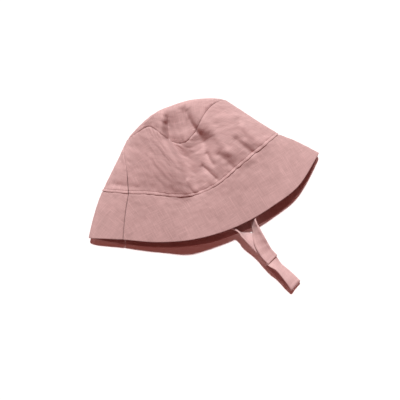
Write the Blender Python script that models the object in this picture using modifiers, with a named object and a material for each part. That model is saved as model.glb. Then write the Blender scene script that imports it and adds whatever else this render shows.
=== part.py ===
"""A baby's linen sun hat with a chin strap, lying on its side as it is put down.

Metres, +Z up. +Y runs along the hat from the brim to the crown's tip and +X across the brim.
The hat is modelled about the middle of its brim seam and then moved, so that the origin ends
on the floor under the middle of the whole hat. The front of the hat is its upper layer here.
"""
import math
from collections import namedtuple

import bmesh
import bpy
import numpy as np
from mathutils import Vector

# Sewn sizes of the hat, in metres
HEAD_GIRTH = 0.470          # round the seam between crown and brim
BRIM_GIRTH = 0.612          # round the outer edge of the brim
TIP_GIRTH = 0.364           # round the seam between crown and tip
CROWN_DEPTH = 0.070         # brim seam to tip seam
BRIM_WIDTH = 0.055          # brim seam to brim edge
TIP_BULGE = 0.0222          # how far the tip stands out past its seam
TIP_RISE = 0.026            # how far its middle stands up
TIP_DENT = 0.65             # share of its radius from which its middle is free of the folds
TIP_EASE = 1.7              # how soon its edge's bends are lost on the way to its middle
CLOTH = 0.0015              # two plies of linen
SEAM_GAP = 0.0006           # between the edges of two sewn pieces

# The chin strap, in metres
STRAP_WIDTH = 0.015
STRAP_CLOTH = 0.0016        # folded and stitched tape
SEWN_GAP = 0.0011           # between the strap and the brim that it is sewn to

# Cells of the cloth meshes
FRONT_CELLS = 40            # along a front panel
BACK_CELLS = 28             # along a back panel
CROWN_ROWS = 12
BRIM_ROWS = 7
TIP_RINGS = 7
MERGE = 0.00005             # points closer than this are one
LONG_CELLS = 96
SHORT_CELLS = 44
SECTION_STEPS = 160         # points on each half of a section
LINE_PLACES = 9             # places that a ring's front line is given at
BRIM_STEP = 0.01            # share of the brim over which its slope is read

FOLD_EXTRA = 0.010          # cloth length that each radian of bend counts as, to place cells
FLAT_SHARE = 0.75           # how early the lower layer comes down flat on the floor
FLAT_POWER = 0.6            # how softly it comes down from its fold

# How the hat lies. There is one row for each ring round the cloth, and all lengths are shares of
# the ring's own girth. The ring reaches from left to right, and its front line runs from the left
# fold, y0, through evenly spaced places to the right fold, y8. The front stands up to rise and
# the two folds at fold. The back line dips towards the brim by back_dip, bowed on either side by
# back_left and back_right. seam_in is the way from the left fold to the left side seam.
Ring = namedtuple("Ring", "left right rise fold back_dip back_left back_right seam_in "
                          "y0 y1 y2 y3 y4 y5 y6 y7 y8")
BRIM_RINGS = (
    Ring(-0.2247, 0.2312, 0.0365, 0.0130, 0.0880, 1.7, 3.5, 0.066,
         -0.0670, -0.0902, -0.1158, -0.1325, -0.1399, -0.1382, -0.1270, -0.1083, -0.0652),
    Ring(-0.2223, 0.2234, 0.0640, 0.0210, 0.0870, 2.0, 2.5, 0.074,
         0.0079, -0.0177, -0.0406, -0.0664, -0.0777, -0.0683, -0.0472, -0.0277, -0.0083),
)
CROWN_RINGS = (
    BRIM_RINGS[-1],
    Ring(-0.1930, 0.1978, 0.1110, 0.0375, 0.0745, 2.0, 2.0, 0.055,
         0.0619, 0.0508, 0.0388, -0.0022, -0.0175, -0.0043, 0.0235, 0.0446, 0.0590),
    Ring(-0.1552, 0.1648, 0.1560, 0.0600, 0.0600, 2.0, 2.0, 0.003,
         0.1319, 0.1375, 0.1385, 0.0808, 0.0602, 0.0780, 0.1151, 0.1379, 0.1456),
)

# Dents and folds of the upper layer. Each runs through its knots, which give its widths to the
# left and right and how far it lifts the cloth there. All are shares of the crown's depth.
Knot = namedtuple("Knot", "across along left right lift")
FOLDS = (
    # left ridge
    (Knot(-0.114, 0.857, 0.200, 0.129, 0.029),
     Knot(-0.286, 0.571, 0.343, 0.129, 0.050),
     Knot(-0.243, 0.243, 0.371, 0.129, 0.057),
     Knot(-0.214, 0.000, 0.343, 0.143, 0.064),
     Knot(-0.229, -0.229, 0.257, 0.143, 0.057),
     Knot(-0.229, -0.400, 0.200, 0.143, 0.029)),
    # dent in the tip, and valley
    (Knot(-0.043, 0.714, 0.171, 0.286, -0.100),
     Knot(-0.129, 0.600, 0.157, 0.286, -0.143),
     Knot(-0.157, 0.457, 0.143, 0.257, -0.171),
     Knot(-0.114, 0.286, 0.143, 0.243, -0.157),
     Knot(-0.043, 0.086, 0.143, 0.229, -0.143),
     Knot(0.000, -0.171, 0.171, 0.200, -0.086),
     Knot(-0.014, -0.429, 0.200, 0.200, -0.029)),
    # right shoulder
    (Knot(0.714, 0.714, 0.314, 0.371, 0.100),
     Knot(0.814, 0.286, 0.371, 0.371, 0.114),
     Knot(0.814, -0.057, 0.400, 0.343, 0.114),
     Knot(0.743, -0.400, 0.371, 0.314, 0.043)),
    # deep crease
    (Knot(0.229, 0.543, 0.157, 0.143, -0.057),
     Knot(0.257, 0.386, 0.157, 0.143, -0.086),
     Knot(0.286, 0.229, 0.171, 0.171, -0.114),
     Knot(0.271, 0.057, 0.171, 0.171, -0.071),
     Knot(0.200, -0.143, 0.171, 0.171, -0.043)),
    # right crease
    (Knot(0.800, 0.071, 0.086, 0.086, -0.043),
     Knot(0.971, -0.186, 0.086, 0.086, -0.036)),
)
FOLD_START = 0.6            # how high up the side of the hat the folds act in full

# The brim's slow waves round the front: places and widths in shares of the half girth
Wave = namedtuple("Wave", "place width lift")
BRIM_WAVES = (
    Wave(0.12, 0.09, -0.0025),
    Wave(0.25, 0.07, -0.0025),
    Wave(0.38, 0.08, 0.0040),
    Wave(0.60, 0.08, -0.0010),
    Wave(0.84, 0.07, 0.0008),
)

# Where the two straps run. Each starts sewn in at a side seam, flat against the brim's inside, at
# places given as shares of the brim from its edge in and of the girth from the left side seam,
# above the cloth of the lower layer or below that of the upper one. After that a row gives the
# strap's middle in head girths, its height in strap widths, and its turn, which is 0 lying flat
# and 90 on edge. The loop at its end rests on the floor and holds the closed strap up.
Sewn = namedtuple("Sewn", "place share above")
LONG_SEWN = (
    Sewn(0.94, 0.032, False),
    Sewn(0.84, 0.058, False),
)
SHORT_SEWN = (
    Sewn(0.94, 0.552, True),
    Sewn(0.80, 0.556, True),
)
Way = namedtuple("Way", "across along height turn")
LONG_WAYS = (
    Way(-0.0870, -0.080, 0.45, -8),
    Way(-0.0560, -0.103, 0.20, 0),
    Way(-0.0230, -0.127, 0.22, 4),
    Way(0.0160, -0.156, 0.42, 26),
    Way(0.0360, -0.174, 0.62, 62),
    Way(0.0480, -0.188, 0.72, 84),
    Way(0.0565, -0.200, 0.80, 84),
    Way(0.0664, -0.212, 0.88, 55),
    Way(0.0777, -0.226, 0.90, 24),
    Way(0.0877, -0.245, 0.88, 8),
    Way(0.0970, -0.268, 0.84, 6),
    Way(0.1045, -0.288, 0.80, 14),
    Way(0.1150, -0.309, 0.80, 50),
    Way(0.1285, -0.338, 0.74, 34),
    Way(0.1370, -0.360, 0.60, 16),
    Way(0.1395, -0.367, 0.34, 8),
    Way(0.1330, -0.3615, 0.09, 4),
    Way(0.1170, -0.339, 0.07, 0),
    Way(0.1020, -0.313, 0.07, 0),
    Way(0.0900, -0.291, 0.07, 0),
)
SHORT_WAYS = (
    Way(0.1290, -0.118, 0.55, 2),
    Way(0.1200, -0.144, 0.66, -14),
    Way(0.1060, -0.163, 0.74, -48),
    Way(0.0965, -0.180, 0.84, -70),
    Way(0.0945, -0.197, 1.05, -66),
    Way(0.0935, -0.213, 1.26, -50),
    Way(0.0930, -0.230, 1.30, -26),
    Way(0.0945, -0.248, 1.20, -4),
    Way(0.0990, -0.268, 1.04, 6),
    Way(0.1076, -0.288, 0.95, 12),
)

COLLECTION = "baby_sun_hat"
CROWN_PINK = (0.60, 0.31, 0.29)
BRIM_PINK = (0.57, 0.29, 0.27)
STRAP_PINK = (0.66, 0.38, 0.36)


def clear_scene():
    for item in list(bpy.data.objects):
        bpy.data.objects.remove(item, do_unlink=True)


def soft_step(value):
    share = np.clip(value, 0.0, 1.0)
    return share * share * (3.0 - 2.0 * share)


def through(values, share):
    """Values at shares from 0 to 1 along a smooth line through evenly spaced ones."""
    values = np.concatenate([[2 * values[0] - values[1]], values, [2 * values[-1] - values[-2]]])
    spot = np.clip(share, 0.0, 1.0) * (LINE_PLACES - 1)
    first = np.minimum(spot.astype(int), LINE_PLACES - 2)
    step = spot - first
    before, start, end, after = (values[first + ahead] for ahead in range(4))
    return start + 0.5 * step * (end - before
                                 + step * (2 * before - 5 * start + 4 * end - after
                                           + step * (3 * (start - end) + after - before)))


def ring_between(rings, place):
    """The ring at a place from 0, the first row, to 1, the last, on a smooth line through all."""
    rows = np.array(rings, dtype=float)
    spot = place * (len(rows) - 1)
    first = min(int(spot), len(rows) - 2)
    step = spot - first
    start, end = rows[first], rows[first + 1]
    slope0 = (end - rows[max(first - 1, 0)]) * (0.5 if first else 1.0)
    after = rows[min(first + 2, len(rows) - 1)]
    slope1 = (after - start) * (0.5 if first + 2 < len(rows) else 1.0)
    cube, square = step ** 3, step ** 2
    mixed = (start * (2 * cube - 3 * square + 1) + end * (3 * square - 2 * cube)
             + slope0 * (cube - 2 * square + step) + slope1 * (cube - square))
    return Ring(*mixed)


def fold_lift(x, y):
    """How far the folds raise the upper layer over the places x, y."""
    total = np.zeros_like(x)
    for line in FOLDS:
        knots = [np.array(knot) * CROWN_DEPTH for knot in line]
        nearest = np.full_like(x, np.inf)
        raised = np.zeros_like(x)
        for index, (start, end) in enumerate(zip(knots, knots[1:])):
            run = (end - start)[:2]
            length = math.hypot(*run)
            run = run / length
            along = (x - start[0]) * run[0] + (y - start[1]) * run[1]
            aside = (y - start[1]) * run[0] - (x - start[0]) * run[1]
            share = np.clip(along / length, 0.0, 1.0)
            left, right, lift = (start[column] + (end[column] - start[column]) * share
                                 for column in (2, 3, 4))
            width = np.where(aside < 0, left, right)
            past = np.maximum(np.maximum(-along, along - length), 0.0)
            open_end = ((along < 0) & (index == 0)) | ((along > length) & (index == len(knots) - 2))
            past_width = np.where(open_end, (left + right) / 2, width)
            here = lift * np.exp(-(aside / width) ** 2 - (past / past_width) ** 2)
            apart = np.hypot(aside, past)
            raised = np.where(apart < nearest, here, raised)
            nearest = np.minimum(nearest, apart)
        total += raised
    return total


def wave_lift(share):
    """The brim's waves at a share of the way over the front, from fold to fold."""
    total = np.zeros_like(share)
    for wave in BRIM_WAVES:
        total += wave.lift * np.exp(-((share - wave.place) / wave.width) ** 2)
    return total


def section(ring, girth, waved):
    """The closed line of a ring, from its left fold over the front and back under the hat.

    The fourth column says how fully the upper layer's folds act there.
    """
    left, right = ring.left * girth, ring.right * girth
    middle, half = (left + right) / 2, (right - left) / 2
    turn = np.linspace(0.0, math.pi, SECTION_STEPS + 1)
    side = -np.cos(turn)
    x = middle + half * side
    high = np.sin(turn)
    upper = soft_step(high / FOLD_START)
    share = (side + 1.0) / 2

    front_y = through(ring[-LINE_PLACES:], share) * girth
    front_z = (ring.fold + (ring.rise - ring.fold) * high) * girth
    front_z = front_z + waved * upper * wave_lift(share)

    bow = np.where(side < 0, ring.back_left, ring.back_right)
    chord = ring.y0 + (ring.y8 - ring.y0) * share
    back_y = (chord - ring.back_dip * (1.0 - np.abs(side) ** bow)) * girth
    back_z = ring.fold * girth * (1.0 - np.clip(high / FLAT_SHARE, 0.0, 1.0) ** FLAT_POWER)
    front = np.stack([x, front_y, front_z + CLOTH / 2, upper], axis=1)
    back = np.stack([x, back_y, back_z + CLOTH / 2, np.zeros_like(x)], axis=1)[::-1]
    return np.concatenate([front, back[1:]])


def ring_line(part, place):
    """The section of the brim or the crown at a place from its first ring, 0, to its last, 1."""
    if part == "brim":
        ring = ring_between(BRIM_RINGS, place)
        girth = BRIM_GIRTH + (HEAD_GIRTH - BRIM_GIRTH) * place
        line = section(ring, girth, 1.0 - place)
        line[:, 3] *= place ** 2
    else:
        ring = ring_between(CROWN_RINGS, place)
        girth = HEAD_GIRTH + (TIP_GIRTH - HEAD_GIRTH) * place
        line = section(ring, girth, 0.0)
    return line, ring.seam_in


def folded(points):
    """The points raised by the folds, as fully as their fourth column says."""
    place = points[:, :3].copy()
    place[:, 2] += points[:, 3] * fold_lift(place[:, 0], place[:, 1])
    return place


def far_along(line):
    """The way along a line to each of its points."""
    steps = np.linalg.norm(np.diff(line[:, :3], axis=0), axis=1)
    return np.concatenate([[0.0], np.cumsum(steps)])


def read_at(line, far, wanted):
    return np.stack([np.interp(wanted, far, column) for column in line.T], axis=1)


def points_across(part, place, front):
    """Points across a panel at one place, closer together where the cloth bends round a fold.

    The panel is drawn in from each side seam by half the gap there.
    """
    line, seam_in = ring_line(part, place)
    line = np.concatenate([line, line[1:]])
    far = far_along(line)
    girth = far[-1] / 2
    begin = (seam_in + (0.0 if front else 0.5)) * girth + SEAM_GAP / 2
    end = begin + girth / 2 - SEAM_GAP
    fine = read_at(line, far, np.linspace(begin, end, 4 * SECTION_STEPS))
    heading = np.gradient(fine[:, :3], axis=0)
    heading /= np.linalg.norm(heading, axis=1)[:, None]
    bend = np.linalg.norm(np.diff(heading, axis=0), axis=1)
    weighed = far_along(fine)
    weighed[1:] += FOLD_EXTRA * np.cumsum(bend)
    cells = FRONT_CELLS if front else BACK_CELLS
    return read_at(fine, weighed, np.linspace(0.0, weighed[-1], cells + 1))


def material(name, colour, roughness):
    """A matt cloth finish."""
    made = bpy.data.materials.new(name)
    made.use_nodes = True
    shader = made.node_tree.nodes["Principled BSDF"]
    shader.inputs["Base Color"].default_value = (*colour, 1.0)
    shader.inputs["Roughness"].default_value = roughness
    shader.inputs["Metallic"].default_value = 0.0
    return made


def add_object(name, mesh_maker, thickness, finish, collection):
    """An open sheet from a bmesh, given its thickness by Solidify."""
    mesh = bpy.data.meshes.new(name)
    mesh_maker.to_mesh(mesh)
    mesh_maker.free()
    mesh.shade_smooth()
    mesh.materials.append(finish)
    piece = bpy.data.objects.new(name, mesh)
    collection.objects.link(piece)
    wall = piece.modifiers.new("wall", "SOLIDIFY")
    wall.thickness = thickness
    wall.offset = 0.0
    wall.use_even_offset = True
    wall.use_quality_normals = True
    return piece


def grid_sheet(rows_of_points):
    """A grid whose rows are the given lines of points."""
    rows, columns = len(rows_of_points), len(rows_of_points[0])
    sheet = bmesh.new()
    bmesh.ops.create_grid(sheet, x_segments=columns - 1, y_segments=rows - 1, size=0.5)
    for vertex in sheet.verts:
        column = round((vertex.co.x + 0.5) * (columns - 1))
        row = round((vertex.co.y + 0.5) * (rows - 1))
        vertex.co = Vector(rows_of_points[row][column])
    return sheet


def panel(name, part, front, finish, collection):
    """One cloth panel of the crown or the brim, with a gap along each seam."""
    rows = BRIM_ROWS if part == "brim" else CROWN_ROWS
    inset = SEAM_GAP / 2 / (BRIM_WIDTH if part == "brim" else CROWN_DEPTH)
    low = 0.0 if part == "brim" else inset
    lines = [folded(points_across(part, place, front))
             for place in np.linspace(low, 1.0 - inset, rows + 1)]
    return add_object(name, grid_sheet(lines), CLOTH, finish, collection)


def oval_near(edge, centre):
    """The even oval that comes closest to the tip's edge, measured from its centre."""
    far = far_along(edge)
    angle = far / far[-1] * 2.0 * math.pi
    waves = np.stack([np.cos(angle), np.sin(angle)], axis=1)
    return waves @ np.linalg.lstsq(waves, edge - centre, rcond=None)[0]


def tip_line(edge, centre, oval, inward):
    """A ring of the tip, from its seam, inward 0, to its middle, inward 1."""
    reach = 1.0 - inward
    ring = centre + oval * reach + (edge - centre - oval) * reach ** TIP_EASE
    ring[:, 1] += TIP_BULGE * (1.0 - reach ** 2)
    ring[:, 2] += TIP_RISE * (1.0 - reach ** 2)
    ring[:, 3] = edge[:, 3] * soft_step(reach / TIP_DENT)
    return folded(ring)


def crown_tip(finish, collection):
    """The round tip, a disc that closes the crown and bulges out of it."""
    front = points_across("crown", 1.0, True)
    back = points_across("crown", 1.0, False)
    edge = np.concatenate([front, back, front[:1]])
    centre = edge.mean(axis=0)
    first = SEAM_GAP / np.linalg.norm((edge - centre)[:, :3], axis=1).mean()
    oval = oval_near(edge, centre)
    lines = [tip_line(edge, centre, oval, inward)
             for inward in np.linspace(first, 1.0, TIP_RINGS + 1)]
    sheet = grid_sheet(lines)
    bmesh.ops.remove_doubles(sheet, verts=sheet.verts, dist=MERGE)
    bmesh.ops.recalc_face_normals(sheet, faces=sheet.faces)
    return add_object("crown_tip", sheet, CLOTH, finish, collection)


def brim_spot(place, share):
    """A point of the brim's cloth, at a share of the girth from the left side seam."""
    line, seam_in = ring_line("brim", place)
    far = far_along(line)
    spot = read_at(line, far, [((share + seam_in) % 1.0) * far[-1]])
    return Vector(folded(spot)[0])


def sewn_row(sewn):
    """The strap's middle where it lies flat against the brim's inside, and the way out there."""
    spot = brim_spot(sewn.place, sewn.share)
    inwards = brim_spot(sewn.place + BRIM_STEP, sewn.share) - spot
    round_it = brim_spot(sewn.place, sewn.share + BRIM_STEP) - spot
    outwards = round_it.cross(inwards).normalized()
    apart = CLOTH / 2 + SEWN_GAP + STRAP_CLOTH / 2
    return spot - outwards * apart, outwards


def way_row(way):
    """The strap's middle at a way point and its turn."""
    return (way.across * HEAD_GIRTH, way.along * HEAD_GIRTH, way.height * STRAP_WIDTH,
            math.radians(way.turn))


def strap_rows(sewn, ways):
    """The rows of a strap's way: its middle and its turn."""
    way_rows = [way_row(way) for way in ways]
    spots = [sewn_row(row) for row in sewn]
    ahead = [spot for spot, _ in spots[1:]] + [Vector(way_rows[0][:3])]
    rows = []
    for (spot, outwards), after in zip(spots, ahead):
        flat, up = flat_and_up((after - spot).normalized(), None)
        rows.append((*spot, math.atan2(-flat.dot(outwards), up.dot(outwards))))
        if rows[-1][3] > math.pi / 2:
            rows[-1] = (*spot, rows[-1][3] - math.pi)
        if rows[-1][3] < -math.pi / 2:
            rows[-1] = (*spot, rows[-1][3] + math.pi)
    return rows + way_rows


def smooth_way(rows, count):
    """Even steps along a smooth line through the rows, never above or below their heights."""
    rows = np.array(rows, dtype=float)
    ends = np.concatenate([[2 * rows[0] - rows[1]], rows, [2 * rows[-1] - rows[-2]]])
    fine = []
    for first in range(1, len(ends) - 2):
        before, start, end, after = ends[first - 1:first + 3]
        for step in np.linspace(0.0, 1.0, 12, endpoint=False):
            point = 0.5 * (2 * start + (end - before) * step
                           + (2 * before - 5 * start + 4 * end - after) * step ** 2
                           + (3 * start - before - 3 * end + after) * step ** 3)
            point[2] = start[2] + (end[2] - start[2]) * soft_step(step)
            fine.append(point)
    fine.append(rows[-1])
    fine = np.array(fine)
    far = far_along(fine)
    return read_at(fine, far, np.linspace(0.0, far[-1], count + 1))


def flat_and_up(along, before):
    """The level way across a line, on the same side as before, and the way up from it."""
    flat = Vector((along.y, -along.x, 0.0))
    if before is not None and flat.length < 0.25:
        flat = before - along * before.dot(along)
    if before is not None and flat.dot(before) < 0:
        flat = -flat
    flat.normalize()
    return flat, flat.cross(along)


def strap(name, sewn, ways, cells, finish, collection):
    """A flat strap swept along its way, turned about its own line."""
    path = smooth_way(strap_rows(sewn, ways), cells)
    flat = None
    lines = [[], [], []]
    for row, heading in zip(path, np.gradient(path[:, :3], axis=0)):
        flat, up = flat_and_up(Vector(heading).normalized(), flat)
        side = flat * math.cos(row[3]) + up * math.sin(row[3])
        for line, share in zip(lines, (-0.5, 0.0, 0.5)):
            line.append(Vector(row[:3]) + side * STRAP_WIDTH * share)
    return add_object(name, grid_sheet(lines), STRAP_CLOTH, finish, collection)


def centre_on_floor(pieces):
    """Moves all pieces so that the origin is on the floor under their middle."""
    bpy.context.view_layer.update()
    graph = bpy.context.evaluated_depsgraph_get()
    corners = [Vector(corner) for piece in pieces for corner in piece.evaluated_get(graph).bound_box]
    low = Vector(min(corner[axis] for corner in corners) for axis in range(3))
    high = Vector(max(corner[axis] for corner in corners) for axis in range(3))
    shift = Vector((-(low.x + high.x) / 2, -(low.y + high.y) / 2, -low.z))
    for piece in pieces:
        piece.location = shift


def build():
    clear_scene()
    collection = bpy.data.collections.new(COLLECTION)
    bpy.context.scene.collection.children.link(collection)
    crown_cloth = material("crown_linen", CROWN_PINK, 0.92)
    brim_cloth = material("brim_linen", BRIM_PINK, 0.92)
    strap_cloth = material("strap_linen", STRAP_PINK, 0.88)
    pieces = [
        panel("crown_front", "crown", True, crown_cloth, collection),
        panel("crown_back", "crown", False, crown_cloth, collection),
        panel("brim_front", "brim", True, brim_cloth, collection),
        panel("brim_back", "brim", False, brim_cloth, collection),
        crown_tip(crown_cloth, collection),
        strap("strap_long", LONG_SEWN, LONG_WAYS, LONG_CELLS, strap_cloth, collection),
        strap("strap_short", SHORT_SEWN, SHORT_WAYS, SHORT_CELLS, strap_cloth, collection),
    ]
    centre_on_floor(pieces)


build()
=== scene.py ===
"""A baby's linen sun hat, lying on its side on a white floor, seen from above.

Metres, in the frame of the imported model. The hat's form is worked out in its own frame, about
the middle of the brim seam, by the same rings as the solids, and then moved onto them.
"""
import math
from collections import namedtuple

import bmesh
import bpy
import numpy as np
from mathutils import Matrix, Vector


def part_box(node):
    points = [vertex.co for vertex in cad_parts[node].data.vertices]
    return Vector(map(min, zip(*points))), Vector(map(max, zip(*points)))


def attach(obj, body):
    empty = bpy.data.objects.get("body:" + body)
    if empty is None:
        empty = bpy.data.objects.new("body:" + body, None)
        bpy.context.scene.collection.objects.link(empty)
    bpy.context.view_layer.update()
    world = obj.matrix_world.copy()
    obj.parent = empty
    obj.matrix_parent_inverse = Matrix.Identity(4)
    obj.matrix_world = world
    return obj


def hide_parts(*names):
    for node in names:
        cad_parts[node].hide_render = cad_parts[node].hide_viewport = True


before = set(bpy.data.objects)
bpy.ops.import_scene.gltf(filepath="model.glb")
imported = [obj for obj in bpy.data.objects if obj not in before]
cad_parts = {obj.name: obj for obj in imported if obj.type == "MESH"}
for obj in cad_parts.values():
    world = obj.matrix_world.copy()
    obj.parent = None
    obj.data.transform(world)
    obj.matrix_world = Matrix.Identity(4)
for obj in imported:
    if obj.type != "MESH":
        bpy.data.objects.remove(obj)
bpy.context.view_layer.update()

# Sewn sizes of the hat, in metres
HEAD_GIRTH = 0.470
BRIM_GIRTH = 0.612
TIP_GIRTH = 0.364
CROWN_DEPTH = 0.070
BRIM_WIDTH = 0.055
TIP_BULGE = 0.0222
TIP_RISE = 0.026
TIP_DENT = 0.65             # share of its radius from which its middle is free of the folds
TIP_EASE = 1.7              # how soon its edge's bends are lost on the way to its middle
CLOTH = 0.0015
SEAM_GAP = 0.0002           # between two pieces that are sewn together
STITCH_IN = 0.0028          # from a seam to its topstitching
STITCH_PITCH = 0.0031
STITCH_LONG = 0.0021
THREAD = 0.0006             # how thick the sewing thread is

# The chin strap, in metres
STRAP_WIDTH = 0.015
STRAP_CLOTH = 0.0016
SEWN_GAP = 0.0011           # between the strap's ends and the brim's inside
STEEP = 0.25                # a strap whose level run is under this share climbs steeply

# Mesh cells of the cloth
CELL = 0.0013               # over the open cloth
FINE_CELL = 0.0004          # along an edge or a seam
FINE_BAND = 0.0040          # how wide the fine cells run
TIP_CELL = 0.00156          # over the open cloth of the tip
STRAP_CELL = 0.0009         # along a strap
WAY_STEPS = 24              # between two way points
SECTION_STEPS = 400         # over one layer of a ring
LINE_PLACES = 9             # y0 to y8 of a ring
FOLD_EXTRA = 0.006          # length that a bend of one radian counts for when cells are shared out
TIP_MERGE = 0.00003         # points of the tip's middle this close become one
THIN_EDGE = 0.02            # square of the least thickness at a rounded edge
TINY = 1e-12                # keeps a normal from being divided by nothing

# How a ring's layers meet at its side folds
FLAT_SHARE = 0.75           # the lower layer lies flat from here on, as a share of a fold's rise
FLAT_POWER = 0.6
FOLD_START = 0.6            # the upper layer's dents act in full from here on

# Relief of the cloth in metres: how far it stands out, or sinks if negative, and how wide it runs
Relief = namedtuple("Relief", "lift width")
SEAM_ROLL = Relief(0.0007, 0.0032)          # the crown's edge over the brim seam
STITCH_DIP = Relief(-0.0005, 0.0006)
TIP_SEAM_DIP = Relief(-0.0006, 0.0013)
BRIM_SEAM_DIP = Relief(-0.0004, 0.0015)
SIDE_SEAM_DIP = Relief(-0.0005, 0.0011)
STRAP_STITCH_DIP = Relief(-0.00025, 0.0005)
STRAP_STITCH_IN = 0.002
PUCKER_LOW = Relief(0.00022, 0.006)         # along the brim seam
PUCKER_HIGH = Relief(0.00025, 0.006)        # along the tip seam, on the crown's side
PUCKER_TIP = Relief(0.00022, 0.006)         # along the tip seam, on the tip
PUCKER_SIZE = 0.0075
PUCKER_REACH = 0.01         # stands for a panel's whole depth, so puckers run across the seam
PUCKER_SEED = 5
CRUMPLES = (Relief(0.00022, 0.026), Relief(0.00014, 0.009))
PLAIN_CRUMPLE = 0.35        # share of the crumple that stays where no folds act
WAVE_COUNT = 28

# How the hat lies, a row for each ring round the cloth, as shares of the ring's own girth. The
# upper layer's line runs from its left fold, y0, through evenly spaced places to its right, y8.
Ring = namedtuple("Ring", "left right rise fold back_dip back_left back_right seam_in "
                          "y0 y1 y2 y3 y4 y5 y6 y7 y8")
BRIM_RINGS = (
    Ring(-0.2247, 0.2312, 0.0365, 0.0130, 0.0880, 1.7, 3.5, 0.066,
         -0.0670, -0.0902, -0.1158, -0.1325, -0.1399, -0.1382, -0.1270, -0.1083, -0.0652),
    Ring(-0.2223, 0.2234, 0.0640, 0.0210, 0.0870, 2.0, 2.5, 0.074,
         0.0079, -0.0177, -0.0406, -0.0664, -0.0777, -0.0683, -0.0472, -0.0277, -0.0083),
)
CROWN_RINGS = (
    BRIM_RINGS[-1],
    Ring(-0.1930, 0.1978, 0.1110, 0.0375, 0.0745, 2.0, 2.0, 0.055,
         0.0619, 0.0508, 0.0388, -0.0022, -0.0175, -0.0043, 0.0235, 0.0446, 0.0590),
    Ring(-0.1552, 0.1648, 0.1560, 0.0600, 0.0600, 2.0, 2.0, 0.003,
         0.1319, 0.1375, 0.1385, 0.0808, 0.0602, 0.0780, 0.1151, 0.1379, 0.1456),
)

# Dents and folds of the upper layer, in millimetres of the hat's own frame. Each runs through its
# knots, which give its widths to the left and right and how far it lifts the cloth there.
Knot = namedtuple("Knot", "x y left right lift")
FOLDS = (
    (Knot(-8, 64, 14, 3, 2), Knot(-20, 40, 24, 4, 3.5), Knot(-17, 17, 26, 4, 4),    # left ridge
     Knot(-15, 0, 24, 4, 5), Knot(-16, -16, 18, 4, 6), Knot(-16, -28, 11, 4, 5)),
    (Knot(-2, 60, 4, 20, -4), Knot(-9, 45, 4, 20, -12), Knot(-12, 32, 5, 18, -13),  # dent, valley
     Knot(-9, 20, 5, 17, -12), Knot(-4, 6, 6, 16, -12), Knot(-1, -12, 8, 14, -9),
     Knot(-2, -30, 9, 12, -3)),
    (Knot(50, 50, 22, 30, 7), Knot(57, 20, 26, 34, 8), Knot(57, -4, 28, 34, 8),     # right shoulder
     Knot(52, -28, 26, 22, 4)),
    (Knot(10, 70, 6, 5, 0), Knot(14, 52, 5, 5, -4), Knot(16, 38, 8, 4, -8),         # deep crease
     Knot(18, 27, 7, 5, -10), Knot(20, 16, 10, 10, -14), Knot(19, 4, 8, 9, -9),
     Knot(14, -10, 7, 7, -4), Knot(12, -20, 6, 6, -2)),
    (Knot(30, 37, 5, 5, 2), Knot(44, -4, 5, 5, 2)),                                 # slanting ridge
    (Knot(-9, -19, 3, 3, 3), Knot(-5, -31, 3, 3, 2.5)),                             # at the seam
    (Knot(12, -9, 2.5, 2.5, -3.5), Knot(21, -27, 2.5, 2.5, -3)),
    (Knot(21, 2, 2.5, 2.5, -2.5), Knot(23, -12, 2.5, 2.5, -2)),
    (Knot(33, -4, 4, 4, -3), Knot(43, -21, 4, 4, -2)),
    (Knot(44, -4, 4, 4, 2), Knot(47, -11, 4, 4, 2)),
    (Knot(56, 5, 3, 4, -4), Knot(68, -13, 3, 4, -5)),                               # right creases
    (Knot(66, 26, 3, 3, -1.5), Knot(66, 6, 3, 3, -1.5)),
    (Knot(69, 16, 5, 5, 3), Knot(79, -4, 5, 5, 2)),
    (Knot(84, 12, 3, 3, -2), Knot(87, 1, 3, 3, -2)),
    (Knot(-40, 20, 2.5, 2.5, 1), Knot(-49, -7, 2.5, 2.5, 0.6)),                     # left panel
    (Knot(-97, 10, 3, 3, -1.5), Knot(-64, -6, 3, 3, -1)),
    (Knot(13, 63, 4, 4, 4), Knot(12, 60, 4, 4, 4)),                                 # at the dent
)

# Waves of the brim's edge: where on the way over the front, how wide and how far up, in metres
Wave = namedtuple("Wave", "place width lift")
BRIM_WAVES = (
    Wave(0.12, 0.09, -0.0025),
    Wave(0.25, 0.07, -0.0025),
    Wave(0.38, 0.08, 0.0040),
    Wave(0.60, 0.08, -0.0010),
    Wave(0.84, 0.07, 0.0008),
)

# Where the two straps run: sewn to the brim's inside at a share of its girth, then by their own
# middle in head girths, a height in strap widths and a turn in degrees that lifts the left edge
Sewn = namedtuple("Sewn", "place share above")
LONG_SEWN = (
    Sewn(0.94, 0.032, False),
    Sewn(0.84, 0.058, False),
)
SHORT_SEWN = (
    Sewn(0.94, 0.552, True),
    Sewn(0.80, 0.556, True),
)
Way = namedtuple("Way", "across along height turn")
LONG_WAYS = (
    Way(-0.0870, -0.080, 0.45, -8),
    Way(-0.0560, -0.103, 0.20, 0),
    Way(-0.0230, -0.127, 0.22, 4),
    Way(0.0160, -0.156, 0.42, 26),
    Way(0.0360, -0.174, 0.62, 62),
    Way(0.0480, -0.188, 0.72, 84),
    Way(0.0565, -0.200, 0.80, 84),
    Way(0.0664, -0.212, 0.88, 55),
    Way(0.0777, -0.226, 0.90, 24),
    Way(0.0877, -0.245, 0.88, 8),
    Way(0.0970, -0.268, 0.84, 6),
    Way(0.1045, -0.288, 0.80, 14),
    Way(0.1150, -0.309, 0.80, 50),
    Way(0.1285, -0.338, 0.74, 34),
    Way(0.1370, -0.360, 0.60, 16),
    Way(0.1395, -0.367, 0.34, 8),
    Way(0.1355, -0.3605, 0.09, 4),
    Way(0.1235, -0.340, 0.07, 0),
    Way(0.1115, -0.315, 0.07, 0),
    Way(0.1020, -0.293, 0.07, 0),
)
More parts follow.
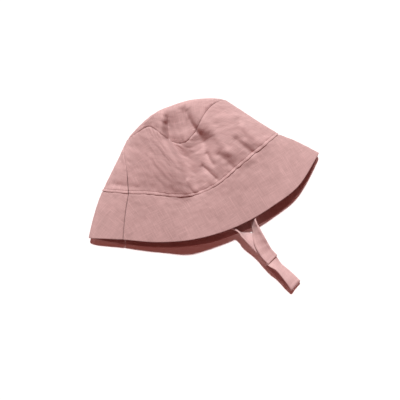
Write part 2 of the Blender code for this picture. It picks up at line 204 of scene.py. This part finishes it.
SHORT_WAYS = (
    Way(0.1290, -0.118, 0.55, 2),
    Way(0.1200, -0.144, 0.66, -14),
    Way(0.1060, -0.163, 0.74, -48),
    Way(0.0965, -0.180, 0.84, -70),
    Way(0.0945, -0.197, 1.05, -66),
    Way(0.0935, -0.213, 1.26, -50),
    Way(0.0930, -0.230, 1.30, -26),
    Way(0.0945, -0.248, 1.20, -4),
    Way(0.0990, -0.268, 1.04, 6),
    Way(0.1076, -0.288, 0.95, 12),
)

# The photograph's view: 400 pixels take in 460 mm of the floor, from straight above
VIEW_ACROSS = 0.460
VIEW_HEIGHT = 1.10
VIEW_SENSOR = 36.0
VIEW_ROLL = math.radians(20)
VIEW_MIDDLE = (-0.0039, -0.0433)    # in the hat's own frame
FLOOR_REACH = 3.0

# The sun's place from the picture's top, to the left, and from straight above
SUN_STRENGTH = 4.0
SUN_WIDTH = math.radians(3.5)
SUN_ASIDE = math.radians(6)
SUN_ZENITH = math.radians(34)
SKY_LIGHT = (0.24, 0.06, 0.05, 1)
WHITE = (0.95, 0.95, 0.95, 1)

# The linen: its threads and the sizes of its slubs, along u and v, in metres
Slub = namedtuple("Slub", "u v detail")
THREAD_PITCH = 0.0011
WARP_SLUB = Slub(0.0011, 0.016, 2.0)
WEFT_SLUB = Slub(0.014, 0.0011, 2.0)
MOTTLE = Slub(0.02, 0.02, 3.0)
THICK_SLUBS = ((Slub(0.0009, 0.022, 1.0), 3.4), (Slub(0.018, 0.0009, 1.0), 2.6))
THICK_FROM = 0.63           # only the highest places of the noise are thick slubs
BASE_TONE = 0.16
THREAD_TONE = 0.34
MOTTLE_TONE = 0.35
WEAVE_TONE = 0.05
WEAVE_HEIGHT = 0.35
DEEP_TONE = 0.50
PALE_TONE = 0.86

# The pale and deep colour of each linen
DYES = {
    "crown_linen": ((0.62, 0.425, 0.415), (0.445, 0.305, 0.295)),
    "brim_linen": ((0.55, 0.375, 0.365), (0.39, 0.263, 0.253)),
    "strap_linen": ((0.64, 0.445, 0.435), (0.51, 0.35, 0.34)),
}


def soft_step(value):
    share = np.clip(value, 0.0, 1.0)
    return share * share * (3.0 - 2.0 * share)


def through(values, share):
    """Values at shares from 0 to 1 along a smooth line through evenly spaced ones."""
    values = np.concatenate([[2 * values[0] - values[1]], values, [2 * values[-1] - values[-2]]])
    spot = np.clip(share, 0.0, 1.0) * (len(values) - 3)
    first = np.minimum(spot.astype(int), len(values) - 4)
    step = spot - first
    before, start, end, after = (values[first + ahead] for ahead in range(4))
    return start + 0.5 * step * (end - before
                                 + step * (2 * before - 5 * start + 4 * end - after
                                           + step * (3 * (start - end) + after - before)))


def ring_between(rings, place):
    """The ring at a place from 0, the first row, to 1, the last, on a smooth line through all."""
    rows = np.array(rings, dtype=float)
    spot = place * (len(rows) - 1)
    first = min(int(spot), len(rows) - 2)
    step = spot - first
    start, end = rows[first], rows[first + 1]
    slope0 = (end - rows[max(first - 1, 0)]) * (0.5 if first else 1.0)
    after = rows[min(first + 2, len(rows) - 1)]
    slope1 = (after - start) * (0.5 if first + 2 < len(rows) else 1.0)
    cube, square = step ** 3, step ** 2
    mixed = (start * (2 * cube - 3 * square + 1) + end * (3 * square - 2 * cube)
             + slope0 * (cube - 2 * square + step) + slope1 * (cube - square))
    return Ring(*mixed)


def fold_lift(x, y):
    """How far the folds raise the upper layer over the places x, y."""
    total = np.zeros_like(x)
    for line in FOLDS:
        knots = [np.array(knot) / 1000 for knot in line]
        nearest = np.full_like(x, np.inf)
        raised = np.zeros_like(x)
        for index, (start, end) in enumerate(zip(knots, knots[1:])):
            run = (end - start)[:2]
            length = math.hypot(*run)
            run = run / length
            along = (x - start[0]) * run[0] + (y - start[1]) * run[1]
            aside = (y - start[1]) * run[0] - (x - start[0]) * run[1]
            share = np.clip(along / length, 0.0, 1.0)
            left, right, lift = (start[column] + (end[column] - start[column]) * share
                                 for column in (2, 3, 4))
            width = np.where(aside < 0, left, right)
            past = np.maximum(np.maximum(-along, along - length), 0.0)
            open_end = ((along < 0) & (index == 0)) | ((along > length) & (index == len(knots) - 2))
            past_width = np.where(open_end, (left + right) / 2, width)
            here = lift * np.exp(-(aside / width) ** 2 - (past / past_width) ** 2)
            apart = np.hypot(aside, past)
            raised = np.where(apart < nearest, here, raised)
            nearest = np.minimum(nearest, apart)
        total += raised
    return total


def wave_lift(share):
    """The brim's waves at a share of the way over the front, from fold to fold."""
    total = np.zeros_like(share)
    for wave in BRIM_WAVES:
        total += wave.lift * np.exp(-((share - wave.place) / wave.width) ** 2)
    return total


def section(ring, girth, waved):
    """The closed line of a ring, from its left fold over the front and back under the hat.

    The fourth column says how fully the upper layer's folds act there.
    """
    left, right = ring.left * girth, ring.right * girth
    middle, half = (left + right) / 2, (right - left) / 2
    turn = np.linspace(0.0, math.pi, SECTION_STEPS + 1)
    side = -np.cos(turn)
    x = middle + half * side
    high = np.sin(turn)
    upper = soft_step(high / FOLD_START)
    share = (side + 1.0) / 2

    front_y = through(ring[-LINE_PLACES:], share) * girth
    front_z = (ring.fold + (ring.rise - ring.fold) * high) * girth
    front_z = front_z + waved * upper * wave_lift(share)

    bow = np.where(side < 0, ring.back_left, ring.back_right)
    chord = ring.y0 + (ring.y8 - ring.y0) * share
    back_y = (chord - ring.back_dip * (1.0 - np.abs(side) ** bow)) * girth
    back_z = ring.fold * girth * (1.0 - np.clip(high / FLAT_SHARE, 0.0, 1.0) ** FLAT_POWER)
    front = np.stack([x, front_y, front_z + CLOTH / 2, upper], axis=1)
    back = np.stack([x, back_y, back_z + CLOTH / 2, np.zeros_like(x)], axis=1)[::-1]
    return np.concatenate([front, back[1:]])


def ring_line(part, place):
    """The section of the brim or the crown at a place from its first ring, 0, to its last, 1."""
    if part == "brim":
        ring = ring_between(BRIM_RINGS, place)
        girth = BRIM_GIRTH + (HEAD_GIRTH - BRIM_GIRTH) * place
        line = section(ring, girth, 1.0 - place)
        line[:, 3] *= place ** 2
    else:
        ring = ring_between(CROWN_RINGS, place)
        girth = HEAD_GIRTH + (TIP_GIRTH - HEAD_GIRTH) * place
        line = section(ring, girth, 0.0)
    return line, ring.seam_in


def far_along(line):
    """The way along a line to each of its points."""
    steps = np.linalg.norm(np.diff(line[:, :3], axis=0), axis=1)
    return np.concatenate([[0.0], np.cumsum(steps)])


def read_at(line, far, wanted):
    return np.stack([np.interp(wanted, far, column) for column in line.T], axis=1)


def points_across(part, place, front, shares):
    """Points across a panel at one place, closer together where the cloth bends round a fold."""
    line, seam_in = ring_line(part, place)
    line = np.concatenate([line, line[1:]])
    far = far_along(line)
    girth = far[-1] / 2
    begin = (seam_in + (0.0 if front else 0.5)) * girth + SEAM_GAP / 2
    end = begin + girth / 2 - SEAM_GAP
    fine = read_at(line, far, np.linspace(begin, end, 4 * SECTION_STEPS))
    heading = np.gradient(fine[:, :3], axis=0)
    heading /= np.linalg.norm(heading, axis=1)[:, None]
    bend = np.linalg.norm(np.diff(heading, axis=0), axis=1)
    weighed = far_along(fine)
    weighed[1:] += FOLD_EXTRA * np.cumsum(bend)
    return read_at(fine, weighed, shares * weighed[-1])


def fine_at_ends(length):
    """Shares of a length, in fine cells near both ends and wider ones between."""
    fine = np.arange(0.0, FINE_BAND, FINE_CELL)
    middle = length - 2 * FINE_BAND
    wide = np.linspace(FINE_BAND, FINE_BAND + middle, max(int(middle / CELL), 2))
    steps = np.concatenate([fine, wide, length - fine[::-1]])
    return steps / length


def random_waves(u, v, size, seed):
    """A smooth random surface of about unit height over u and v, with bumps of about one size."""
    chance = np.random.default_rng(seed)
    total = np.zeros_like(u)
    for _ in range(WAVE_COUNT):
        angle = chance.uniform(0, math.pi)
        length = size * chance.uniform(0.7, 1.5)
        phase = chance.uniform(0, 2 * math.pi)
        total += np.sin(2 * math.pi * (u * math.cos(angle) + v * math.sin(angle)) / length + phase)
    return total * math.sqrt(2.0 / WAVE_COUNT)


def crumple(pattern, seed):
    """Linen's own small unevenness over a pattern."""
    u, v = pattern[:, :, 0], pattern[:, :, 1]
    return sum(random_waves(u, v, size.width, seed + index) * size.lift
               for index, size in enumerate(CRUMPLES))


def relief(kind, distance):
    """The height of a relief at a distance from its middle line."""
    return kind.lift * np.exp(-(distance / kind.width) ** 2)


def normals_of(points):
    """Unit normals of a grid of points."""
    along_row = np.gradient(points, axis=1)
    along_column = np.gradient(points, axis=0)
    normal = np.cross(along_row, along_column)
    return normal / np.maximum(np.linalg.norm(normal, axis=2), TINY)[:, :, None]


def grid_piece(name, points, pattern, thickness, edge, finish):
    """A cloth sheet from a grid of points, with its pattern as a UV map, given its thickness.

    edge holds each point's way to the nearest free edge, where the cloth rounds off.
    """
    rows, columns = points.shape[:2]
    maker = bmesh.new()
    bmesh.ops.create_grid(maker, x_segments=columns - 1, y_segments=rows - 1, size=0.5)
    mesh = bpy.data.meshes.new(name)
    maker.to_mesh(mesh)
    maker.free()
    flat = np.empty(len(mesh.vertices) * 3)
    mesh.vertices.foreach_get("co", flat)
    flat = flat.reshape(-1, 3)
    column = np.rint((flat[:, 0] + 0.5) * (columns - 1)).astype(int)
    row = np.rint((flat[:, 1] + 0.5) * (rows - 1)).astype(int)
    placed = points[row, column]
    placed[:, 2] = np.maximum(placed[:, 2], thickness / 2)
    mesh.vertices.foreach_set("co", placed.ravel())
    corner = np.empty(len(mesh.loops), dtype=int)
    mesh.loops.foreach_get("vertex_index", corner)
    cut = mesh.uv_layers.new(name="cloth")
    cut.data.foreach_set("uv", pattern[row, column][corner].ravel())
    mesh.materials.append(finish)
    mesh.shade_smooth()
    piece = bpy.data.objects.new(name, mesh)
    bpy.context.scene.collection.objects.link(piece)

    rounding = thickness / 2
    inner = np.clip(edge[row, column] / rounding, 0.0, 1.0)
    full = np.sqrt(np.clip(1.0 - (1.0 - inner) ** 2, THIN_EDGE, 1.0))
    wall_group = piece.vertex_groups.new(name="wall")
    for index, share in enumerate(full):
        wall_group.add([index], float(share), "REPLACE")
    wall = piece.modifiers.new("wall", "SOLIDIFY")
    wall.thickness = thickness
    wall.offset = 0.0
    wall.vertex_group = "wall"
    wall.use_quality_normals = True
    return piece


def sector(part, front, around, out):
    """Places on the flat cut of a panel, which is a piece of a cone laid flat.

    The back's cut lies apart from the front's, so that their slubs differ.
    """
    low, high, depth = ((BRIM_GIRTH, HEAD_GIRTH, BRIM_WIDTH) if part == "brim"
                        else (HEAD_GIRTH, TIP_GIRTH, CROWN_DEPTH))
    spread = (low - high) / 2 / depth
    radius = low / 2 / spread - out * depth
    angle = (around - 0.5) * spread
    flat = np.stack([radius * np.sin(angle), radius * np.cos(angle)], axis=-1)
    return flat + (0.0 if front else 1.0)


def folded_grid(lines):
    """Stacks lines of points, raised by the folds as fully as their fourth column says."""
    points = np.stack(lines)
    places = points[:, :, :3].copy()
    places[:, :, 2] += points[:, :, 3] * fold_lift(places[:, :, 0], places[:, :, 1])
    return places, points[:, :, 3]


def panel(name, part, front, finish, seed):
    """One cloth panel of the crown or the brim, and the line of its lower topstitching."""
    depth = BRIM_WIDTH if part == "brim" else CROWN_DEPTH
    girth = BRIM_GIRTH if part == "brim" else HEAD_GIRTH
    inset = SEAM_GAP / 2 / depth
    low = 0.0 if part == "brim" else inset
    out = low + fine_at_ends(depth) * (1.0 - inset - low)
    around = fine_at_ends(girth / 2)
    places, upper = folded_grid([points_across(part, place, front, around) for place in out])
    around_grid, out_grid = np.meshgrid(around, out)
    pattern = sector(part, front, around_grid, out_grid)
    crumple_share = PLAIN_CRUMPLE + (1.0 - PLAIN_CRUMPLE) * upper
    places = places + normals_of(places) * (crumple(pattern, seed) * crumple_share)[:, :, None]

    from_low = out_grid * depth
    from_high = (1.0 - out_grid) * depth
    from_side = np.minimum(around_grid, 1.0 - around_grid) * girth / 2
    shape = np.zeros_like(out_grid)
    if part == "crown":
        shape += relief(SEAM_ROLL, from_low) + relief(STITCH_DIP, from_low - STITCH_IN)
        shape += relief(TIP_SEAM_DIP, from_high)
        pucker = random_waves(around_grid * girth / 2, out_grid * PUCKER_REACH, PUCKER_SIZE,
                              seed + PUCKER_SEED)
        shape += pucker * relief(PUCKER_LOW, from_low - STITCH_IN)
        shape += pucker * relief(PUCKER_HIGH, from_high)
    else:
        shape += relief(BRIM_SEAM_DIP, from_high)
    shape += relief(SIDE_SEAM_DIP, from_side)
    places = places + normals_of(places) * shape[:, :, None]
    edge = np.minimum(np.minimum(from_low, from_high), from_side)
    row = np.abs(out * depth - STITCH_IN).argmin()
    return (grid_piece(name, places, pattern, CLOTH, edge, finish),
            (places[row], normals_of(places)[row]))


def stitch_row(name, line, finish):
    """Topstitching on the outside of the cloth, along a line of places and normals."""
    places, normals = line
    far = far_along(places)
    maker = bmesh.new()
    for middle in np.arange(STITCH_PITCH, far[-1] - STITCH_PITCH, STITCH_PITCH):
        spot, ahead, normal = (Vector([np.interp(where, far, column) for column in values.T])
                               for where, values in ((middle, places),
                                                     (middle + STITCH_PITCH / 4, places),
                                                     (middle, normals)))
        along = (ahead - spot).normalized()
        across = normal.cross(along).normalized()
        up = along.cross(across)
        lie = Matrix.Translation(spot + up * CLOTH / 2)
        turned = Matrix((along * STITCH_LONG / 2, across * THREAD / 2, up * THREAD / 2)).transposed()
        bmesh.ops.create_icosphere(maker, subdivisions=1, radius=1.0, matrix=lie @ turned.to_4x4())
    cut = maker.loops.layers.uv.new("cloth")
    for face in maker.faces:
        for corner in face.loops:
            corner[cut].uv = corner.vert.co.xy
    mesh = bpy.data.meshes.new(name)
    maker.to_mesh(mesh)
    maker.free()
    mesh.materials.append(finish)
    mesh.shade_smooth()
    piece = bpy.data.objects.new(name, mesh)
    bpy.context.scene.collection.objects.link(piece)
    return piece


def oval_near(edge, centre):
    """The even oval that comes closest to the tip's edge, measured from its centre."""
    far = far_along(edge)
    angle = far / far[-1] * 2.0 * math.pi
    waves = np.stack([np.cos(angle), np.sin(angle)], axis=1)
    return waves @ np.linalg.lstsq(waves, edge - centre, rcond=None)[0]


def crown_tip(finish, seed):
    """The round tip, a disc that closes the crown and bulges out of it, and its topstitching."""
    around = fine_at_ends(HEAD_GIRTH / 2)
    front = points_across("crown", 1.0, True, around)
    back = points_across("crown", 1.0, False, around)
    edge = np.concatenate([front, back, front[:1]])
    centre = edge.mean(axis=0)
    radius = TIP_GIRTH / (2 * math.pi)
    first = SEAM_GAP / radius
    fine = np.arange(0.0, FINE_BAND, FINE_CELL)
    wide = np.linspace(FINE_BAND, radius, int(radius / TIP_CELL))
    inward = first + np.concatenate([fine, wide]) / radius * (1.0 - first)
    oval = oval_near(edge, centre)
    lines = []
    for share in inward:
        reach = 1.0 - share
        ring = centre + oval * reach + (edge - centre - oval) * reach ** TIP_EASE
        ring[:, 1] += TIP_BULGE * (1.0 - reach ** 2)
        ring[:, 2] += TIP_RISE * (1.0 - reach ** 2)
        ring[:, 3] = edge[:, 3] * soft_step(reach / TIP_DENT)
        lines.append(ring)
    places, upper = folded_grid(lines)
    angle_grid, in_grid = np.meshgrid(np.linspace(0, 2 * math.pi, len(edge)), inward)
    reach = (1.0 - in_grid) * radius
    pattern = np.stack([reach * np.cos(angle_grid), reach * np.sin(angle_grid)], axis=-1)
    from_edge = in_grid * radius
    pucker = random_waves(angle_grid * radius, in_grid * PUCKER_REACH, PUCKER_SIZE,
                          seed + PUCKER_SEED)
    shape = relief(TIP_SEAM_DIP, from_edge) + pucker * relief(PUCKER_TIP, from_edge)
    shape += crumple(pattern, seed) * upper
    normal = normals_of(places)
    normal[:, 0] = normal[:, -1] = normal[:, 1]
    normal[-1] = normal[-2].mean(axis=0)
    places = places + normal * shape[:, :, None]
    places[:, -1] = places[:, 0]
    places[-1] = places[-1].mean(axis=0)
    row = np.abs(inward * radius - STITCH_IN).argmin()
    stitches = (places[row], normals_of(places)[row])
    piece = grid_piece("crown_tip_cloth", places, pattern, CLOTH, from_edge, finish)
    maker = bmesh.new()
    maker.from_mesh(piece.data)
    bmesh.ops.remove_doubles(maker, verts=maker.verts, dist=TIP_MERGE)
    maker.to_mesh(piece.data)
    maker.free()
    return piece, stitches


def brim_spot(place, share):
    """A point of the brim's cloth, at a share of the girth from the left side seam."""
    line, seam_in = ring_line("brim", place)
    far = far_along(line)
    spot = read_at(line, far, [((share + seam_in) % 1.0) * far[-1]])
    return Vector(folded_grid([spot])[0][0, 0])


def sewn_row(sewn):
    """The strap's middle where it lies flat against the brim's inside, and the way out there."""
    step = 0.01
    spot = brim_spot(sewn.place, sewn.share)
    inwards = brim_spot(sewn.place + step, sewn.share) - spot
    round_it = brim_spot(sewn.place, sewn.share + step) - spot
    outwards = round_it.cross(inwards).normalized()
    apart = CLOTH / 2 + SEWN_GAP + STRAP_CLOTH / 2
    return spot - outwards * apart, outwards


def way_row(way):
    """The strap's middle at a way point and its turn."""
    return (way.across * HEAD_GIRTH, way.along * HEAD_GIRTH, way.height * STRAP_WIDTH,
            math.radians(way.turn))


def flat_and_up(along, before):
    """The level way across a line, on the same side as before, and the way up from it."""
    flat = Vector((along.y, -along.x, 0.0))
    if before is not None and flat.length < STEEP:
        flat = before - along * before.dot(along)
    if before is not None and flat.dot(before) < 0:
        flat = -flat
    flat.normalize()
    return flat, flat.cross(along)


def strap_rows(sewn, ways):
    """The rows of a strap's way: its middle and its turn."""
    way_rows = [way_row(way) for way in ways]
    spots = [sewn_row(row) for row in sewn]
    ahead = [spot for spot, _ in spots[1:]] + [Vector(way_rows[0][:3])]
    rows = []
    for (spot, outwards), after in zip(spots, ahead):
        flat, up = flat_and_up((after - spot).normalized(), None)
        turn = math.atan2(-flat.dot(outwards), up.dot(outwards))
        if turn > math.pi / 2:
            turn -= math.pi
        if turn < -math.pi / 2:
            turn += math.pi
        rows.append((*spot, turn))
    return rows + way_rows


def smooth_way(rows):
    """Even steps along a smooth line through the rows, never above or below their heights."""
    rows = np.array(rows, dtype=float)
    ends = np.concatenate([[2 * rows[0] - rows[1]], rows, [2 * rows[-1] - rows[-2]]])
    fine = []
    for first in range(1, len(ends) - 2):
        before, start, end, after = ends[first - 1:first + 3]
        for step in np.linspace(0.0, 1.0, WAY_STEPS, endpoint=False):
            point = 0.5 * (2 * start + (end - before) * step
                           + (2 * before - 5 * start + 4 * end - after) * step ** 2
                           + (3 * start - before - 3 * end + after) * step ** 3)
            point[2] = start[2] + (end[2] - start[2]) * soft_step(step)
            fine.append(point)
    fine.append(rows[-1])
    fine = np.array(fine)
    far = far_along(fine)
    count = int(far[-1] / STRAP_CELL)
    return read_at(fine, far, np.linspace(0.0, far[-1], count + 1)), far[-1]


def strap(name, sewn, ways, finish, offset):
    """A flat strap swept along its way, turned about its own line, and its length."""
    path, length = smooth_way(strap_rows(sewn, ways))
    across = fine_at_ends(STRAP_WIDTH) - 0.5
    flat = None
    places = np.empty((len(across), len(path), 3))
    for column, (row, heading) in enumerate(zip(path, np.gradient(path[:, :3], axis=0))):
        flat, up = flat_and_up(Vector(heading).normalized(), flat)
        side = flat * math.cos(row[3]) + up * math.sin(row[3])
        places[:, column] = row[:3] + np.outer(across * STRAP_WIDTH, np.array(side))
    u, v = np.meshgrid(np.linspace(0, length, len(path)), across * STRAP_WIDTH)
    pattern = np.stack([v + offset, u], axis=-1)
    edge = np.minimum(STRAP_WIDTH / 2 - np.abs(v), np.minimum(u, length - u))
    shape = relief(STRAP_STITCH_DIP, STRAP_WIDTH / 2 - np.abs(v) - STRAP_STITCH_IN)
    places = places + normals_of(places) * shape[:, :, None]
    return grid_piece(name, places, pattern, STRAP_CLOTH, edge, finish), length


def linen(name):
    """Woven linen: fine threads, slubs both ways, and a soft unevenness of its dye."""
    made = bpy.data.materials.new(name)
    made.use_nodes = True
    tree = made.node_tree
    shader = tree.nodes["Principled BSDF"]
    shader.inputs["Roughness"].default_value = 0.92
    shader.inputs["Specular IOR Level"].default_value = 0.2
    shader.inputs["Sheen Weight"].default_value = 0.12
    shader.inputs["Sheen Roughness"].default_value = 0.5

    def node(kind, **values):
        made_node = tree.nodes.new(kind)
        for key, value in values.items():
            setattr(made_node, key, value)
        return made_node

    def join(source, target):
        tree.links.new(source, target)

    def math_node(operation, first, second):
        made_node = node("ShaderNodeMath", operation=operation)
        for socket, value in zip(made_node.inputs, (first, second)):
            if isinstance(value, (int, float)):
                socket.default_value = value
            else:
                join(value, socket)
        return made_node.outputs[0]

    def add(first, second):
        return math_node("ADD", first, second)

    def times(first, second):
        return math_node("MULTIPLY", first, second)

    def slubs(size):
        placed = node("ShaderNodeMapping")
        placed.inputs["Scale"].default_value = (1 / size.u, 1 / size.v, 1.0)
        join(cloth.outputs["UV"], placed.inputs["Vector"])
        noise = node("ShaderNodeTexNoise")
        noise.inputs["Scale"].default_value = 1.0
        noise.inputs["Detail"].default_value = size.detail
        noise.inputs["Roughness"].default_value = 0.6
        join(placed.outputs["Vector"], noise.inputs["Vector"])
        return noise.outputs["Fac"]

    cloth = node("ShaderNodeUVMap", uv_map="cloth")
    parts = node("ShaderNodeSeparateXYZ")
    join(cloth.outputs["UV"], parts.inputs["Vector"])
    turns = 2 * math.pi / THREAD_PITCH
    warp = math_node("SINE", times(parts.outputs["X"], turns), 0.0)
    weft = math_node("SINE", times(parts.outputs["Y"], turns), 0.0)
    weave = times(warp, weft)

    warp_slubs = slubs(WARP_SLUB)
    weft_slubs = slubs(WEFT_SLUB)
    mottle = slubs(MOTTLE)
    threads = add(warp_slubs, weft_slubs)
    tone = add(times(threads, THREAD_TONE), times(mottle, MOTTLE_TONE))
    tone = add(tone, BASE_TONE)
    tone = add(tone, times(weave, WEAVE_TONE))
    for size, strength in THICK_SLUBS:
        thick = math_node("SUBTRACT", slubs(size), THICK_FROM)
        tone = add(tone, times(math_node("MAXIMUM", thick, 0.0), strength))
    ramp = node("ShaderNodeValToRGB")
    pale, deep = DYES[name]
    ends = ramp.color_ramp.elements
    ends[0].position, ends[0].color = DEEP_TONE, (*deep, 1.0)
    ends[1].position, ends[1].color = PALE_TONE, (*pale, 1.0)
    join(tone, ramp.inputs["Fac"])
    join(ramp.outputs["Color"], shader.inputs["Base Color"])

    height = add(times(weave, WEAVE_HEIGHT), threads)
    bump = node("ShaderNodeBump")
    bump.inputs["Strength"].default_value = 0.5
    bump.inputs["Distance"].default_value = 0.0003
    join(height, bump.inputs["Height"])
    join(bump.outputs["Normal"], shader.inputs["Normal"])
    return made


def moved(pieces):
    """Moves the pieces from the hat's own frame onto the solids."""
    edge, _ = ring_line("brim", 0.0)
    low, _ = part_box("brim_back")
    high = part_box("brim_front")[1]
    middle = (edge[:, 0].min() + edge[:, 0].max()) / 2
    shift = Vector(((low.x + high.x) / 2 - middle, low.y - edge[:, 1].min(), 0.0))
    for piece in pieces:
        for vertex in piece.data.vertices:
            vertex.co += shift
        piece.data.update()
    return shift


def floor():
    maker = bmesh.new()
    bmesh.ops.create_grid(maker, x_segments=1, y_segments=1, size=FLOOR_REACH)
    mesh = bpy.data.meshes.new("floor")
    maker.to_mesh(mesh)
    maker.free()
    made = bpy.data.objects.new("floor", mesh)
    bpy.context.scene.collection.objects.link(made)
    white = bpy.data.materials.new("white_board")
    white.use_nodes = True
    shader = white.node_tree.nodes["Principled BSDF"]
    shader.inputs["Base Color"].default_value = WHITE
    shader.inputs["Roughness"].default_value = 0.8
    shader.inputs["Specular IOR Level"].default_value = 0.1
    mesh.materials.append(white)


def camera_above(shift):
    data = bpy.data.cameras.new("camera")
    data.sensor_width = VIEW_SENSOR
    data.lens = VIEW_SENSOR * VIEW_HEIGHT / VIEW_ACROSS
    made = bpy.data.objects.new("camera", data)
    bpy.context.scene.collection.objects.link(made)
    made.location = (VIEW_MIDDLE[0] + shift.x, VIEW_MIDDLE[1] + shift.y, VIEW_HEIGHT)
    made.rotation_euler = (0, 0, -VIEW_ROLL)
    bpy.context.scene.camera = made


def studio_light():
    data = bpy.data.lights.new("key", "SUN")
    data.energy = SUN_STRENGTH
    data.angle = SUN_WIDTH
    made = bpy.data.objects.new("key", data)
    bpy.context.scene.collection.objects.link(made)
    toward = math.radians(90) - VIEW_ROLL + SUN_ASIDE
    level = math.sin(SUN_ZENITH)
    source = Vector((math.cos(toward) * level, math.sin(toward) * level, math.cos(SUN_ZENITH)))
    made.rotation_euler = source.to_track_quat("Z", "Y").to_euler()
    world = bpy.data.worlds.new("room")
    bpy.context.scene.world = world
    world.use_nodes = True
    tree = world.node_tree
    sky = tree.nodes["Background"]
    sky.inputs["Color"].default_value = SKY_LIGHT
    sky.inputs["Strength"].default_value = 1.0
    seen = tree.nodes.new("ShaderNodeBackground")
    seen.inputs["Color"].default_value = WHITE
    path = tree.nodes.new("ShaderNodeLightPath")
    mix = tree.nodes.new("ShaderNodeMixShader")
    tree.links.new(path.outputs["Is Camera Ray"], mix.inputs["Fac"])
    tree.links.new(sky.outputs["Background"], mix.inputs[1])
    tree.links.new(seen.outputs["Background"], mix.inputs[2])
    tree.links.new(mix.outputs["Shader"], tree.nodes["World Output"].inputs["Surface"])
    bpy.context.scene.view_settings.view_transform = "Standard"


def build():
    crown_linen, brim_linen, strap_linen = (linen(name) for name in DYES)
    made = {
        "crown_front": panel("crown_front_cloth", "crown", True, crown_linen, 11),
        "crown_back": panel("crown_back_cloth", "crown", False, crown_linen, 21),
        "brim_front": panel("brim_front_cloth", "brim", True, brim_linen, 31),
        "brim_back": panel("brim_back_cloth", "brim", False, brim_linen, 41),
        "crown_tip": crown_tip(crown_linen, 51),
    }
    cloths = {node: piece for node, (piece, _) in made.items()}
    stitches = {node: stitch_row(node + "_stitches", made[node][1], crown_linen)
                for node in ("crown_front", "crown_back", "crown_tip")}
    long_piece, long_length = strap("strap_long_cloth", LONG_SEWN, LONG_WAYS, strap_linen, 61)
    short_piece, short_length = strap("strap_short_cloth", SHORT_SEWN, SHORT_WAYS, strap_linen, 71)
    cloths["strap_long"] = long_piece
    cloths["strap_short"] = short_piece
    shift = moved(list(cloths.values()) + list(stitches.values()))
    for node, piece in cloths.items():
        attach(piece, "root")
        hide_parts(node)
    for node, piece in stitches.items():
        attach(piece, "root")
        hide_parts(node)
    floor()
    camera_above(shift)
    studio_light()
    print("straps", round(long_length, 4), round(short_length, 4), "shift", shift[:])


build()
